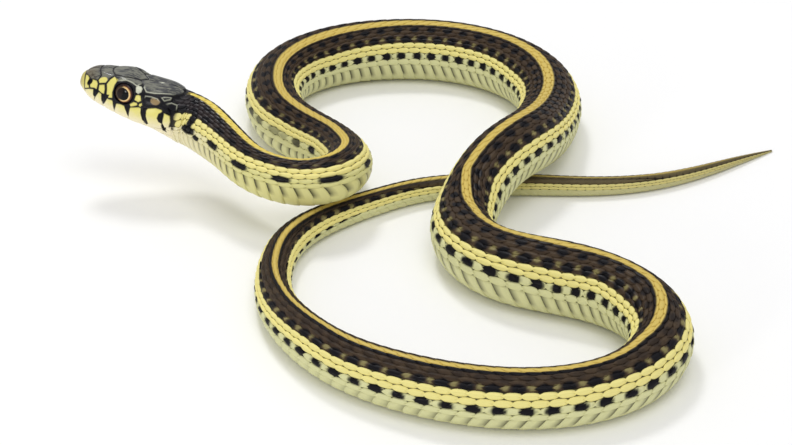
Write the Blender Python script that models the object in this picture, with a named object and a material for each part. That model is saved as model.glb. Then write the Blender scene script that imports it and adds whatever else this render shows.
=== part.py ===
# A plains garter snake, life size, as a still museum model: it rests on the floor in three
# loops with its head raised, and its trunk lies across its own tail.
# Metres, +Z up. The origin is on the floor, below the middle of the model's box.
from math import cos, pi, radians, sin

import bmesh
import bpy
import numpy as np
from mathutils import Matrix, Vector

for old in list(bpy.data.objects):
    bpy.data.objects.remove(old, do_unlink=True)

MM = 0.001
GAP = 0.3                # between neighbouring lengths, mm
BELLY = 0.90             # the flat belly lies this share of the radius under the axis

# Route of the body's axis, mm, from the back of the head to the tip of the tail: x, y, and
# the lift of the belly over the floor. The neck rides over the hind body, and the trunk is
# lifted where it lies across the tail.
ROUTE = (
    (-50.6, 14.7, 11.1), (-45.2, 10.6, 10.0), (-41.0, 5.5, 9.2), (-36.6, 0.2, 8.1),
    (-31.0, -2.9, 7.1), (-25.6, -3.5, 6.6), (-20.6, -1.8, 6.6), (-17.9, 3.5, 5.7),
    (-17.8, 9.9, 4.2), (-19.6, 15.6, 2.7), (-22.4, 21.5, 1.1), (-26.2, 26.9, 0.1),
    (-31.4, 33.7, 0.0), (-34.4, 43.7, 0.0), (-33.0, 54.7, 0.0), (-26.0, 63.5, 0.0),
    (-16.5, 68.1, 0.0), (-6.5, 69.5, 0.0), (2.0, 68.7, 0.0), (10.0, 65.7, 0.0),
    (17.5, 59.9, 0.0), (22.8, 51.7, 0.0), (25.0, 41.7, 0.0), (23.3, 29.0, 1.1),
    (19.0, 16.1, 4.1), (14.4, 8.7, 5.0), (10.0, 2.1, 3.8), (6.6, -4.9, 1.5),
    (4.9, -11.8, 0.1), (6.2, -20.1, 0.0), (10.6, -26.5, 0.0), (17.0, -30.6, 0.0),
    (24.4, -33.5, 0.0), (32.3, -38.0, 0.0), (37.8, -44.8, 0.0), (39.2, -52.9, 0.0),
    (35.6, -61.7, 0.0), (29.0, -67.4, 0.0), (21.0, -70.3, 0.0), (11.2, -70.9, 0.0),
    (1.6, -69.0, 0.0), (-8.6, -64.6, 0.0), (-17.8, -58.0, 0.0), (-25.1, -48.7, 0.0),
    (-30.0, -37.3, 0.0), (-31.0, -25.3, 0.0), (-28.6, -13.7, 0.0), (-22.6, -4.7, 0.0),
    (-13.6, 2.9, 0.0), (-4.0, 8.7, 0.0), (8.0, 11.5, 0.0), (21.4, 11.9, 0.0),
    (33.6, 11.9, 0.0), (44.0, 13.9, 0.0), (54.0, 18.5, 0.0), (63.0, 24.5, 0.0),
    (71.8, 30.8, 0.0),
)
# Radius of the body at distances from the back of the head, mm.
RADIUS = (
    (0, 5.30), (6, 5.08), (12, 4.60), (20, 4.42), (36, 4.68), (52, 5.00), (66, 5.66), (90, 6.15),
    (112, 6.60), (150, 6.80), (180, 6.75), (210, 6.45), (240, 6.30), (264, 6.95),
    (278, 6.60), (294, 5.85), (312, 5.36), (336, 5.28), (360, 4.90), (378, 4.25),
    (394, 3.50), (410, 3.34), (424, 3.02), (438, 2.62), (455, 2.42), (475, 2.10),
    (492, 1.78), (506, 1.38), (517, 0.86), (526, 0.22),
)
# The head points left of the picture, a little back, and up.
HEAD_LENGTH = 22.5
HEAD_TURN = radians(11)
HEAD_PITCH = radians(14.2)
NECK_DROP = 0.88         # the neck's axis starts this far under the head's, mm
# Head: distance from the snout, half width, crown and chin above the head's axis, mm, and
# how square the top of the section is, where 2 is an ellipse.
HEAD = (
    (0.10, 1.00, 1.75, -0.15, 2.4), (0.50, 1.50, 2.30, -0.66, 2.6), (1.20, 2.05, 3.02, -1.24, 3.0),
    (2.20, 2.55, 3.72, -2.06, 3.6), (3.50, 3.00, 4.18, -2.80, 4.5), (5.00, 3.42, 4.45, -3.10, 5.5),
    (6.80, 3.85, 4.72, -3.44, 6.5), (9.00, 4.32, 5.18, -3.78, 7.0), (11.5, 4.88, 4.86, -3.95, 6.5),
    (14.0, 5.36, 4.62, -3.97, 5.5), (16.5, 5.62, 4.82, -4.03, 4.2), (19.0, 5.60, 5.02, -4.62, 3.2),
    (21.0, 5.42, 4.78, -5.22, 2.7), (22.5, 5.25, 4.70, -5.75, 2.5),
)
CHIN_SQUARENESS = 2.5
CROWN_TAPER = 0.22       # the crown is narrower than the lips by this share
# Mouth line: distance from the snout and height above the head's axis, mm.
MOUTH = (
    (-1.0, -0.75), (0.8, -1.05), (2.3, -1.65), (4.7, -2.10), (9.7, -2.45), (13.4, -2.55),
    (16.5, -2.35), (19.0, -1.95),
)
JAW_NARROWER = 0.94      # the lower jaw's width as a share of the head's

EYE_RADIUS = 2.12
EYE_DEPTH = 1.05         # half the eyeball's thickness, mm
EYE_FROM_SNOUT = 10.0
EYE_SIDE = 3.60          # from the middle plane to the eyeball's centre, mm
EYE_HEIGHT = 2.40
EYE_TURN = (0.20, 1.0, 0.14)     # it looks this way: forward, outward and up

SECTION_SIDES = 20
TAIL_SIDES = 16
RING_STEP = 3.2
NECK_END = 56.0
TRUNK_END = 394.0        # the vent
NECK_LENGTHS = 2
TRUNK_LENGTHS = 10
TAIL_LENGTHS = 4


def spline(knots, values, start_slope=None):
    """Slopes of a cubic spline at its knots; free ends unless a start slope is given."""
    steps = np.diff(knots)
    rises = np.diff(values, axis=0) / steps[:, None]
    count = len(knots)
    matrix = np.zeros((count, count))
    right = np.zeros_like(values)
    for i in range(1, count - 1):
        matrix[i, i - 1:i + 2] = (steps[i], 2 * (steps[i - 1] + steps[i]), steps[i - 1])
        right[i] = 3 * (steps[i] * rises[i - 1] + steps[i - 1] * rises[i])
    matrix[0, :2] = (2, 1)
    right[0] = 3 * rises[0]
    if start_slope is not None:
        matrix[0, :2] = (1, 0)
        right[0] = start_slope
    matrix[-1, -2:] = (1, 2)
    right[-1] = 3 * rises[-1]
    return np.linalg.solve(matrix, right)


def read_spline(knots, values, slopes, at):
    """Points of a cubic spline, and its direction there."""
    i = np.clip(np.searchsorted(knots, at, side="right") - 1, 0, len(knots) - 2)
    step = (knots[i + 1] - knots[i])[:, None]
    t = (at - knots[i])[:, None] / step
    a, b, ma, mb = values[i], values[i + 1], slopes[i] * step, slopes[i + 1] * step
    point = ((1 + 2 * t) * (1 - t) ** 2 * a + t * (1 - t) ** 2 * ma
             + t * t * (3 - 2 * t) * b + t * t * (t - 1) * mb)
    direction = (6 * t * (t - 1) * (a - b) + (1 - t) * (1 - 3 * t) * ma
                 + t * (3 * t - 2) * mb) / step
    return point, direction


HEAD_FORWARD = Vector((-cos(HEAD_PITCH) * cos(HEAD_TURN), cos(HEAD_PITCH) * sin(HEAD_TURN),
                       sin(HEAD_PITCH)))
route_points = np.array(ROUTE)
route_knots = np.concatenate(([0], np.cumsum(np.linalg.norm(np.diff(route_points, axis=0), axis=1))))
route_slopes = spline(route_knots, route_points, -np.array(HEAD_FORWARD))
fine = np.linspace(0, route_knots[-1], 4000)
fine_points = read_spline(route_knots, route_points, route_slopes, fine)[0]
fine_length = np.concatenate(([0], np.cumsum(np.linalg.norm(np.diff(fine_points, axis=0), axis=1))))
BODY_LENGTH = fine_length[-1]
radius_knots = np.array([row[0] for row in RADIUS], float)
radius_values = np.array([[row[1]] for row in RADIUS])
radius_slopes = spline(radius_knots, radius_values)


def radius_at(distance):
    """Radius of the body at a distance from the back of the head."""
    along = np.array([distance * radius_knots[-1] / BODY_LENGTH])
    return read_spline(radius_knots, radius_values, radius_slopes, along)[0][0, 0]


def body_frame(distance):
    """Centre, left and upward directions of the body at a distance from the head."""
    knot = np.interp(distance, fine_length, fine)
    point, direction = read_spline(route_knots, route_points, route_slopes, np.array([knot]))
    centre = Vector(point[0])
    centre.z = max(centre.z, 0) + BELLY * radius_at(distance)
    tangent = Vector(direction[0]).normalized()
    left = Vector((0, 0, 1)).cross(tangent).normalized()
    return centre, left, tangent.cross(left)


def new_object(name, mesh_builder, material, smooth_angle=40):
    mesh = bpy.data.meshes.new(name)
    bmesh.ops.recalc_face_normals(mesh_builder, faces=mesh_builder.faces)
    mesh_builder.to_mesh(mesh)
    mesh_builder.free()
    mesh.shade_smooth()
    mesh.set_sharp_from_angle(angle=radians(smooth_angle))
    mesh.materials.append(material)
    part = bpy.data.objects.new(name, mesh)
    bpy.context.collection.objects.link(part)
    return part


def skin_material(name, colour, roughness):
    material = bpy.data.materials.new(name)
    material.use_nodes = True
    shader = material.node_tree.nodes["Principled BSDF"]
    shader.inputs["Base Color"].default_value = (*colour, 1)
    shader.inputs["Roughness"].default_value = roughness
    shader.inputs["Metallic"].default_value = 0
    return material


def loft(rings):
    """A closed solid through rings of points, with a flat face on each end."""
    solid = bmesh.new()
    loops = [[solid.verts.new(point * MM) for point in ring] for ring in rings]
    for first, second in zip(loops, loops[1:]):
        for i in range(len(first)):
            j = (i + 1) % len(first)
            solid.faces.new((first[i], first[j], second[j], second[i]))
    solid.faces.new(loops[0][::-1])
    solid.faces.new(loops[-1])
    return solid


def body_ring(distance, sides, shift):
    """A round cross-section with a flat belly, moved a little along the body."""
    centre, left, up = body_frame(distance)
    centre = centre + left.cross(up) * shift
    radius = radius_at(distance)
    ring = []
    for k in range(sides):
        angle = 2 * pi * k / sides
        height = max(cos(angle), -BELLY) * radius
        ring.append(centre + left * (sin(angle) * radius) + up * height)
    return ring


def body_length(name, start, end, sides, material):
    """One length of the body. Both faces of each cut are parallel, so that it's even in a bend."""
    count = max(2, round((end - start) / RING_STEP))
    shifts = [GAP / 2] + [0] * (count - 1) + [-GAP / 2]
    rings = [body_ring(start + (end - start) * k / count, sides, shifts[k]) for k in range(count + 1)]
    return new_object(name, loft(rings), material)


def body_lengths(name, start, end, count, sides, material):
    """A run of the body in equal lengths, numbered from the head."""
    for k in range(count):
        first = start + (end - start) * k / count
        last = start + (end - start) * (k + 1) / count
        body_length(f"{name}_{k + 1}", first, last, sides, material)


HEAD_LEFT = Vector((0, 0, 1)).cross(HEAD_FORWARD).normalized()
HEAD_UP = HEAD_FORWARD.cross(HEAD_LEFT)
neck_start, neck_left, neck_up = body_frame(0)
SNOUT = neck_start + HEAD_FORWARD * HEAD_LENGTH + HEAD_UP * NECK_DROP


def head_point(from_snout, side, height):
    """A point in the head's own frame: back from the snout, to its left, and up."""
    return SNOUT - HEAD_FORWARD * from_snout + HEAD_LEFT * side + HEAD_UP * height


def head_section(station, narrower, sides):
    """One cross-section of the head: a flat crown, leaning cheeks and a round chin."""
    from_snout, half_width, crown, chin, crown_squareness = station
    middle = (crown + chin) / 2
    half_height = (crown - chin) / 2
    ring = []
    for k in range(sides):
        angle = 2 * pi * k / sides
        squareness = crown_squareness if cos(angle) > 0 else CHIN_SQUARENESS
        side = abs(sin(angle)) ** (2 / squareness) * np.sign(sin(angle))
        height = abs(cos(angle)) ** (2 / squareness) * np.sign(cos(angle))
        side *= half_width * narrower * (1 - CROWN_TAPER * max(height, 0))
        ring.append(head_point(min(from_snout, HEAD_LENGTH - GAP), side, middle + height * half_height))
    return ring


def head_solid(narrower):
    """The whole head as one loft, from the snout to the neck."""
    return loft([head_section(station, narrower, SECTION_SIDES) for station in HEAD])


def below_mouth(raise_by, back_end):
    """A block that fills the space under the mouth line, as wide as the head."""
    depth = -9.0
    outline = [(along, height + raise_by) for along, height in MOUTH[:-1]]
    outline += [(back_end, MOUTH[-1][1] + raise_by), (back_end, depth), (MOUTH[0][0], depth)]
    half = 8.0
    rings = [[head_point(along, side, height) for along, height in outline] for side in (-half, half)]
    return loft(rings)


def cut(part, operation, cutter_mesh):
    """Shape a part with a hidden cutter."""
    cutter = new_object(f"cutter_{part.name}_{len(bpy.data.objects)}", cutter_mesh, part.data.materials[0])
    cutter.hide_render = True
    cutter.display_type = "WIRE"
    boolean = part.modifiers.new("cut", "BOOLEAN")
    boolean.operation = operation
    boolean.solver = "EXACT"
    boolean.object = cutter


def eyeball(side, larger_by):
    """A flattened ball on one side of the head; side is 1 for the left, -1 for the right."""
    ball = bmesh.new()
    centre = head_point(EYE_FROM_SNOUT, side * EYE_SIDE, EYE_HEIGHT) * MM
    forward, outward, up = EYE_TURN
    looks = HEAD_FORWARD * forward + HEAD_LEFT * (outward * side) + HEAD_UP * up
    turn = looks.to_track_quat("Z", "Y").to_matrix().to_4x4()
    across = (EYE_RADIUS + larger_by) * MM
    flatten = Matrix.Diagonal((across, across, (EYE_DEPTH + larger_by) * MM, 1))
    bmesh.ops.create_uvsphere(ball, u_segments=16, v_segments=10, radius=1,
                              matrix=Matrix.Translation(centre) @ turn @ flatten)
    return ball


brown = skin_material("brown_scales", (0.10, 0.075, 0.05), 0.45)
olive = skin_material("olive_head_plates", (0.16, 0.15, 0.12), 0.35)
cream = skin_material("cream_lower_jaw", (0.72, 0.66, 0.42), 0.45)
black = skin_material("black_eye", (0.01, 0.01, 0.012), 0.05)

head = new_object("head", head_solid(1), olive)
cut(head, "DIFFERENCE", below_mouth(GAP / 2, MOUTH[-1][0] + GAP / 2))
for side in (1, -1):
    cut(head, "DIFFERENCE", eyeball(side, GAP))
jaw = new_object("lower_jaw", head_solid(JAW_NARROWER), cream)
cut(jaw, "INTERSECT", below_mouth(-GAP / 2, MOUTH[-1][0] - GAP / 2))
new_object("eye_left", eyeball(1, 0), black)
new_object("eye_right", eyeball(-1, 0), black)

body_lengths("neck", 0, NECK_END, NECK_LENGTHS, SECTION_SIDES, brown)
body_lengths("trunk", NECK_END, TRUNK_END, TRUNK_LENGTHS, SECTION_SIDES, brown)
body_lengths("tail", TRUNK_END, BODY_LENGTH, TAIL_LENGTHS, TAIL_SIDES, brown)
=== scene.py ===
# A plains garter snake, life size, as a museum model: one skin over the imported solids, and on
# it every scale, scute and head plate as raised mesh. Lengths are in mm until a mesh is made.
from math import cos, pi, radians, sin

import bpy
import numpy as np
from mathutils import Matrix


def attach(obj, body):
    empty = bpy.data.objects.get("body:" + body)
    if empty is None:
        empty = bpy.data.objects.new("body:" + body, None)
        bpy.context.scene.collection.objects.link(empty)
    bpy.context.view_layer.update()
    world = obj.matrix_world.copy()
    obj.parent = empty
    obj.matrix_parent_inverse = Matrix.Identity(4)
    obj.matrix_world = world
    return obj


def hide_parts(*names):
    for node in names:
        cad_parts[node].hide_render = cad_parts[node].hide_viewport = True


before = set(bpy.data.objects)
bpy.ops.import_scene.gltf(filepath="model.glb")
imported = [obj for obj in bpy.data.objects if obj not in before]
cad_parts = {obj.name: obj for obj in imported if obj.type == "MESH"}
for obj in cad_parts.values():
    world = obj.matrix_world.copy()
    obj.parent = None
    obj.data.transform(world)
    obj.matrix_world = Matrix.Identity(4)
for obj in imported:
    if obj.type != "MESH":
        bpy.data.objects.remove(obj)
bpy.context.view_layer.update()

# The table the model lies on: a plain white sheet, larger than the picture, under two soft
# lights from above and a small low one at the left front, which gives the eye its glint. The
# camera looks down on it at 29 degrees.
LOOK_DOWN = radians(29)
CAMERA_DISTANCE = 0.440
LOOK_AT = (-0.0080, -0.0003)
LENS = 100
FILM_WIDTH = 36
TABLE_HALF = 3.0
TABLE_DROP = -0.00004
TABLE_WHITE = (0.97, 0.97, 0.975)
TABLE_ROUGHNESS = 0.8
STUDIO_LIGHT = 0.62      # strength of the even light from all round

table_mesh = bpy.data.meshes.new("table")
table_corners = [(-TABLE_HALF, -TABLE_HALF), (TABLE_HALF, -TABLE_HALF),
                 (TABLE_HALF, TABLE_HALF), (-TABLE_HALF, TABLE_HALF)]
table_mesh.from_pydata([(x, y, TABLE_DROP) for x, y in table_corners], [], [(0, 1, 2, 3)])
table = bpy.data.objects.new("table", table_mesh)
bpy.context.collection.objects.link(table)

sheet = bpy.data.materials.new("white_sheet")
sheet.use_nodes = True
sheet.node_tree.nodes["Principled BSDF"].inputs["Base Color"].default_value = (*TABLE_WHITE, 1)
sheet.node_tree.nodes["Principled BSDF"].inputs["Roughness"].default_value = TABLE_ROUGHNESS
table_mesh.materials.append(sheet)


def soft_light(name, place, aim, size, power):
    """A square area light, aimed at a point."""
    lamp = bpy.data.lights.new(name, "AREA")
    lamp.size = size
    lamp.energy = power
    light = bpy.data.objects.new(name, lamp)
    bpy.context.collection.objects.link(light)
    light.location = place
    direction = np.array(aim) - np.array(place)
    light.rotation_mode = "XYZ"
    flat = np.hypot(direction[0], direction[1])
    light.rotation_euler = (np.arctan2(flat, -direction[2]), 0, np.arctan2(-direction[0], direction[1]))


soft_light("light_over_back", place=(-0.12, 0.34, 0.62), aim=(0, 0, 0), size=0.14, power=1.35)
soft_light("light_over_front", place=(0.10, -0.22, 0.66), aim=(0, 0, 0), size=0.34, power=1.05)
soft_light("light_by_camera", place=(-0.28, -0.42, 0.13), aim=(-0.06, 0.02, 0.02), size=0.08, power=0.30)

world = bpy.data.worlds.new("studio")
bpy.context.scene.world = world
world.use_nodes = True
world.node_tree.nodes["Background"].inputs["Color"].default_value = (1, 1, 1, 1)
world.node_tree.nodes["Background"].inputs["Strength"].default_value = STUDIO_LIGHT
bpy.context.scene.view_settings.view_transform = "Standard"

lens = bpy.data.cameras.new("camera")
lens.lens = LENS
lens.sensor_width = FILM_WIDTH
lens.clip_start = 0.01
camera = bpy.data.objects.new("camera", lens)
bpy.context.collection.objects.link(camera)
camera.location = (LOOK_AT[0], LOOK_AT[1] - CAMERA_DISTANCE * cos(LOOK_DOWN),
                   CAMERA_DISTANCE * sin(LOOK_DOWN))
camera.rotation_euler = (pi / 2 - LOOK_DOWN, 0, 0)
bpy.context.scene.camera = camera


# The skin: the whole animal in one closed surface, a coat's depth inside the solids. It runs
# along the same route and profile as they do, and the head's cross-sections join the neck's
# without a seam. It shows as black seams between the scales.
MM = 0.001
# Points of the route from head to tail tip: x, y and how high the belly is over the floor.
ROUTE = (
    (-50.6, 14.7, 11.1), (-45.2, 10.6, 10.0), (-41.0, 5.5, 9.2), (-36.6, 0.2, 8.1),
    (-31.0, -2.9, 7.1), (-25.6, -3.5, 6.6), (-20.6, -1.8, 6.6), (-17.9, 3.5, 5.7),
    (-17.8, 9.9, 4.2), (-19.6, 15.6, 2.7), (-22.4, 21.5, 1.1), (-26.2, 26.9, 0.1),
    (-31.4, 33.7, 0.0), (-34.4, 43.7, 0.0), (-33.0, 54.7, 0.0), (-26.0, 63.5, 0.0),
    (-16.5, 68.1, 0.0), (-6.5, 69.5, 0.0), (2.0, 68.7, 0.0), (10.0, 65.7, 0.0),
    (17.5, 59.9, 0.0), (22.8, 51.7, 0.0), (25.0, 41.7, 0.0), (23.3, 29.0, 1.1),
    (19.0, 16.1, 4.1), (14.4, 8.7, 5.0), (10.0, 2.1, 3.8), (6.6, -4.9, 1.5),
    (4.9, -11.8, 0.1), (6.2, -20.1, 0.0), (10.6, -26.5, 0.0), (17.0, -30.6, 0.0),
    (24.4, -33.5, 0.0), (32.3, -38.0, 0.0), (37.8, -44.8, 0.0), (39.2, -52.9, 0.0),
    (35.6, -61.7, 0.0), (29.0, -67.4, 0.0), (21.0, -70.3, 0.0), (11.2, -70.9, 0.0),
    (1.6, -69.0, 0.0), (-8.6, -64.6, 0.0), (-17.8, -58.0, 0.0), (-25.1, -48.7, 0.0),
    (-30.0, -37.3, 0.0), (-31.0, -25.3, 0.0), (-28.6, -13.7, 0.0), (-22.6, -4.7, 0.0),
    (-13.6, 2.9, 0.0), (-4.0, 8.7, 0.0), (8.0, 11.5, 0.0), (21.4, 11.9, 0.0),
    (33.6, 11.9, 0.0), (44.0, 13.9, 0.0), (54.0, 18.5, 0.0), (63.0, 24.5, 0.0),
    (71.8, 30.8, 0.0),
)
# The body's radius at distances from the back of the head.
RADIUS = (
    (0, 5.30), (6, 5.08), (12, 4.60), (20, 4.42), (36, 4.68), (52, 5.00), (66, 5.66), (90, 6.15),
    (112, 6.60), (150, 6.80), (180, 6.75), (210, 6.45), (240, 6.30), (264, 6.95),
    (278, 6.60), (294, 5.85), (312, 5.36), (336, 5.28), (360, 4.90), (378, 4.25),
    (394, 3.50), (410, 3.34), (424, 3.02), (438, 2.62), (455, 2.42), (475, 2.10),
    (492, 1.78), (506, 1.38), (517, 0.86), (526, 0.22),
)
# Stations of the head: distance from the snout, half width, crown, chin, and how square it is.
HEAD = (
    (0.00, 0.55, 1.30, 0.30, 2.2),
    (0.10, 1.00, 1.75, -0.15, 2.4), (0.50, 1.50, 2.30, -0.66, 2.6), (1.20, 2.05, 3.02, -1.24, 3.0),
    (2.20, 2.55, 3.72, -2.06, 3.6), (3.50, 3.00, 4.18, -2.80, 4.5), (5.00, 3.42, 4.45, -3.10, 5.5),
    (6.80, 3.85, 4.72, -3.44, 6.5), (9.00, 4.32, 5.18, -3.78, 7.0), (11.5, 4.88, 4.86, -3.95, 6.5),
    (14.0, 5.36, 4.62, -3.97, 5.5), (16.5, 5.62, 4.82, -4.03, 4.2), (19.0, 5.60, 5.02, -4.62, 3.2),
    (21.0, 5.42, 4.78, -5.22, 2.7), (22.5, 5.25, 4.70, -5.75, 2.5),
)
BELLY = 0.90             # how far the flat belly lies below the axis, as a share of the radius
HEAD_LENGTH = 22.5
HEAD_TURN = radians(11)
HEAD_PITCH = radians(14.2)
NECK_DROP = 0.88         # the neck's axis starts this far below the head's
CHIN_SQUARENESS = 2.5
CROWN_TAPER = 0.22
COAT_DEPTH = 0.25        # the skin lies this far inside the solids
FINE_STEP = 0.05
JOIN_START = -4.0        # the head blends into the neck between these distances
JOIN_END = 3.0
UV_MARGIN = 0.02


def spline(knots, values, start_slope=None):
    """Slopes of a cubic spline at its knots; free ends unless a start slope is given."""
    steps = np.diff(knots)
    rises = np.diff(values, axis=0) / steps[:, None]
    count = len(knots)
    matrix = np.zeros((count, count))
    right = np.zeros_like(values)
    for i in range(1, count - 1):
        matrix[i, i - 1:i + 2] = (steps[i], 2 * (steps[i - 1] + steps[i]), steps[i - 1])
        right[i] = 3 * (steps[i] * rises[i - 1] + steps[i - 1] * rises[i])
    matrix[0, :2] = (2, 1)
    right[0] = 3 * rises[0]
    if start_slope is not None:
        matrix[0, :2] = (1, 0)
        right[0] = start_slope
    matrix[-1, -2:] = (1, 2)
    right[-1] = 3 * rises[-1]
    return np.linalg.solve(matrix, right)


def read_spline(knots, values, slopes, at):
    """Points of a cubic spline, and its direction there."""
    i = np.clip(np.searchsorted(knots, at, side="right") - 1, 0, len(knots) - 2)
    step = (knots[i + 1] - knots[i])[:, None]
    t = (at - knots[i])[:, None] / step
    a, b, ma, mb = values[i], values[i + 1], slopes[i] * step, slopes[i + 1] * step
    point = ((1 + 2 * t) * (1 - t) ** 2 * a + t * (1 - t) ** 2 * ma
             + t * t * (3 - 2 * t) * b + t * t * (t - 1) * mb)
    direction = (6 * t * (t - 1) * (a - b) + (1 - t) * (1 - 3 * t) * ma
                 + t * (3 * t - 2) * mb) / step
    return point, direction


def unit(vectors):
    """Vectors made one long."""
    return vectors / np.linalg.norm(vectors, axis=-1, keepdims=True)


def length_along(points):
    """The length of a chain of points, up to each of them."""
    return np.concatenate(([0], np.cumsum(np.linalg.norm(np.diff(points, axis=0), axis=1))))


head_forward = np.array((-cos(HEAD_PITCH) * cos(HEAD_TURN), cos(HEAD_PITCH) * sin(HEAD_TURN),
                         sin(HEAD_PITCH)))
upward = np.array((0.0, 0.0, 1.0))
route_points = np.array(ROUTE)
route_knots = length_along(route_points)
route_slopes = spline(route_knots, route_points, -head_forward)
dense = np.linspace(0, route_knots[-1], 4000)
dense_points = read_spline(route_knots, route_points, route_slopes, dense)[0]
dense_length = length_along(dense_points)
BODY_LENGTH = dense_length[-1]

# Frames of the body at every step along it: centre, left, up and radius.
body_at = np.arange(0, BODY_LENGTH, FINE_STEP)
body_centre, body_tangent = read_spline(route_knots, route_points, route_slopes,
                                        np.interp(body_at, dense_length, dense))
radius_table = np.array(RADIUS, float)
radius_at = radius_table[:, 0]
radius_slopes = spline(radius_at, radius_table[:, 1:])
body_radius = read_spline(radius_at, radius_table[:, 1:], radius_slopes,
                          body_at * radius_at[-1] / BODY_LENGTH)[0][:, 0]
body_centre[:, 2] = np.maximum(body_centre[:, 2], 0) + BELLY * body_radius
body_tangent = unit(body_tangent)
body_left = unit(np.cross(upward, body_tangent))
body_up = np.cross(body_tangent, body_left)

# Cross-sections of the head: half of each, from the crown to the chin, in even steps.
head_left = unit(np.cross(upward, head_forward))
head_up = np.cross(head_forward, head_left)
snout = body_centre[0] + head_forward * HEAD_LENGTH + head_up * NECK_DROP
HEAD_STATIONS = 181
HALF_SECTION = 161
section_root = np.linspace(0, np.sqrt(HEAD_LENGTH - JOIN_START), HEAD_STATIONS)
head_table = np.array(HEAD)
head_knots = np.sqrt(head_table[:, 0])
profile = read_spline(head_knots, head_table[:, 1:], spline(head_knots, head_table[:, 1:]),
                      np.minimum(section_root, np.sqrt(HEAD_LENGTH)))[0]
round_half = np.linspace(0, pi, 1500)
sections = np.zeros((HEAD_STATIONS, HALF_SECTION, 2))
half_girth = np.zeros(HEAD_STATIONS)
for i, (half_width, crown, chin, squareness) in enumerate(profile):
    power = 2 / np.where(np.cos(round_half) > 0, max(squareness, 2), CHIN_SQUARENESS)
    rise = np.abs(np.cos(round_half)) ** power * np.sign(np.cos(round_half))
    out = np.abs(np.sin(round_half)) ** power * half_width * (1 - CROWN_TAPER * np.maximum(rise, 0))
    rise = (crown + chin) / 2 + rise * (crown - chin) / 2
    arc = length_along(np.stack((out, rise), axis=-1))
    half_girth[i] = arc[-1]
    even = np.linspace(0, arc[-1], HALF_SECTION)
    sections[i, :, 0] = np.interp(even, arc, out)
    sections[i, :, 1] = np.interp(even, arc, rise)
section_slope = np.gradient(sections, axis=1)
section_normal = unit(np.stack((-section_slope[..., 1], section_slope[..., 0]), axis=-1))
section_normal[:, 0] = (0, 1)
section_normal[:, -1] = (0, -1)


def girth_of_head(from_snout):
    """Half the girth of the head, from the crown to the chin."""
    return np.interp(np.sqrt(np.maximum(from_snout, 0)), section_root, half_girth)


def on_head(from_snout, around, lift):
    """Points on the head: back from the snout, and around from -1 to 1, with 0 on the crown."""
    i = np.clip(np.sqrt(np.maximum(from_snout, 0)) / section_root[1], 0, HEAD_STATIONS - 1.001)
    j = np.clip(np.abs(around), 0, 0.99999) * (HALF_SECTION - 1)
    i0 = i.astype(int)
    j0 = j.astype(int)
    fi = (i - i0)[..., None]
    fj = (j - j0)[..., None]
    mixed = []
    for table in (sections, section_normal):
        first = table[i0, j0] * (1 - fj) + table[i0, j0 + 1] * fj
        second = table[i0 + 1, j0] * (1 - fj) + table[i0 + 1, j0 + 1] * fj
        mixed.append(first * (1 - fi) + second * fi)
    flat = mixed[0] + unit(mixed[1]) * lift[..., None]
    side = (flat[..., 0] * np.where(around < 0, -1, 1))[..., None]
    return snout - head_forward * from_snout[..., None] + head_left * side + head_up * flat[..., 1:]


def on_body(distance, around, lift):
    """Points on the neck, trunk and tail: distance from the back of the head, and around."""
    centre, left, up = (np.stack([np.interp(distance, body_at, frames[:, k]) for k in range(3)], axis=-1)
                        for frames in (body_centre, body_left, body_up))
    centre = centre - head_forward * np.minimum(distance, 0)[..., None]
    radius = np.interp(distance, body_at, body_radius)
    rise = np.maximum(np.cos(pi * around) * (radius + lift), -BELLY * radius - np.minimum(lift, 0))
    out = np.sin(pi * around) * (radius + lift)
    return centre + left * out[..., None] + up * rise[..., None]


def ease(value):
    """From 0 to 1 with soft ends."""
    value = np.clip(value, 0, 1)
    return value * value * (3 - 2 * value)


def on_snake(distance, around, lift):
    """Points on the whole animal. Negative distances are on the head, which blends into the neck.
    The body's frames look towards the tail, so its sides are the head's, mirrored."""
    distance, around, lift = np.broadcast_arrays(distance, around, lift)
    weight = ease((distance - JOIN_START) / (JOIN_END - JOIN_START))[..., None]
    points = np.zeros((*distance.shape, 3))
    near = distance < JOIN_END
    far = distance > JOIN_START
    points[far] += on_body(distance[far], around[far], lift[far]) * weight[far]
    points[near] += on_head(distance[near] + HEAD_LENGTH, -around[near], lift[near]) * (1 - weight[near])
    return points


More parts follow.
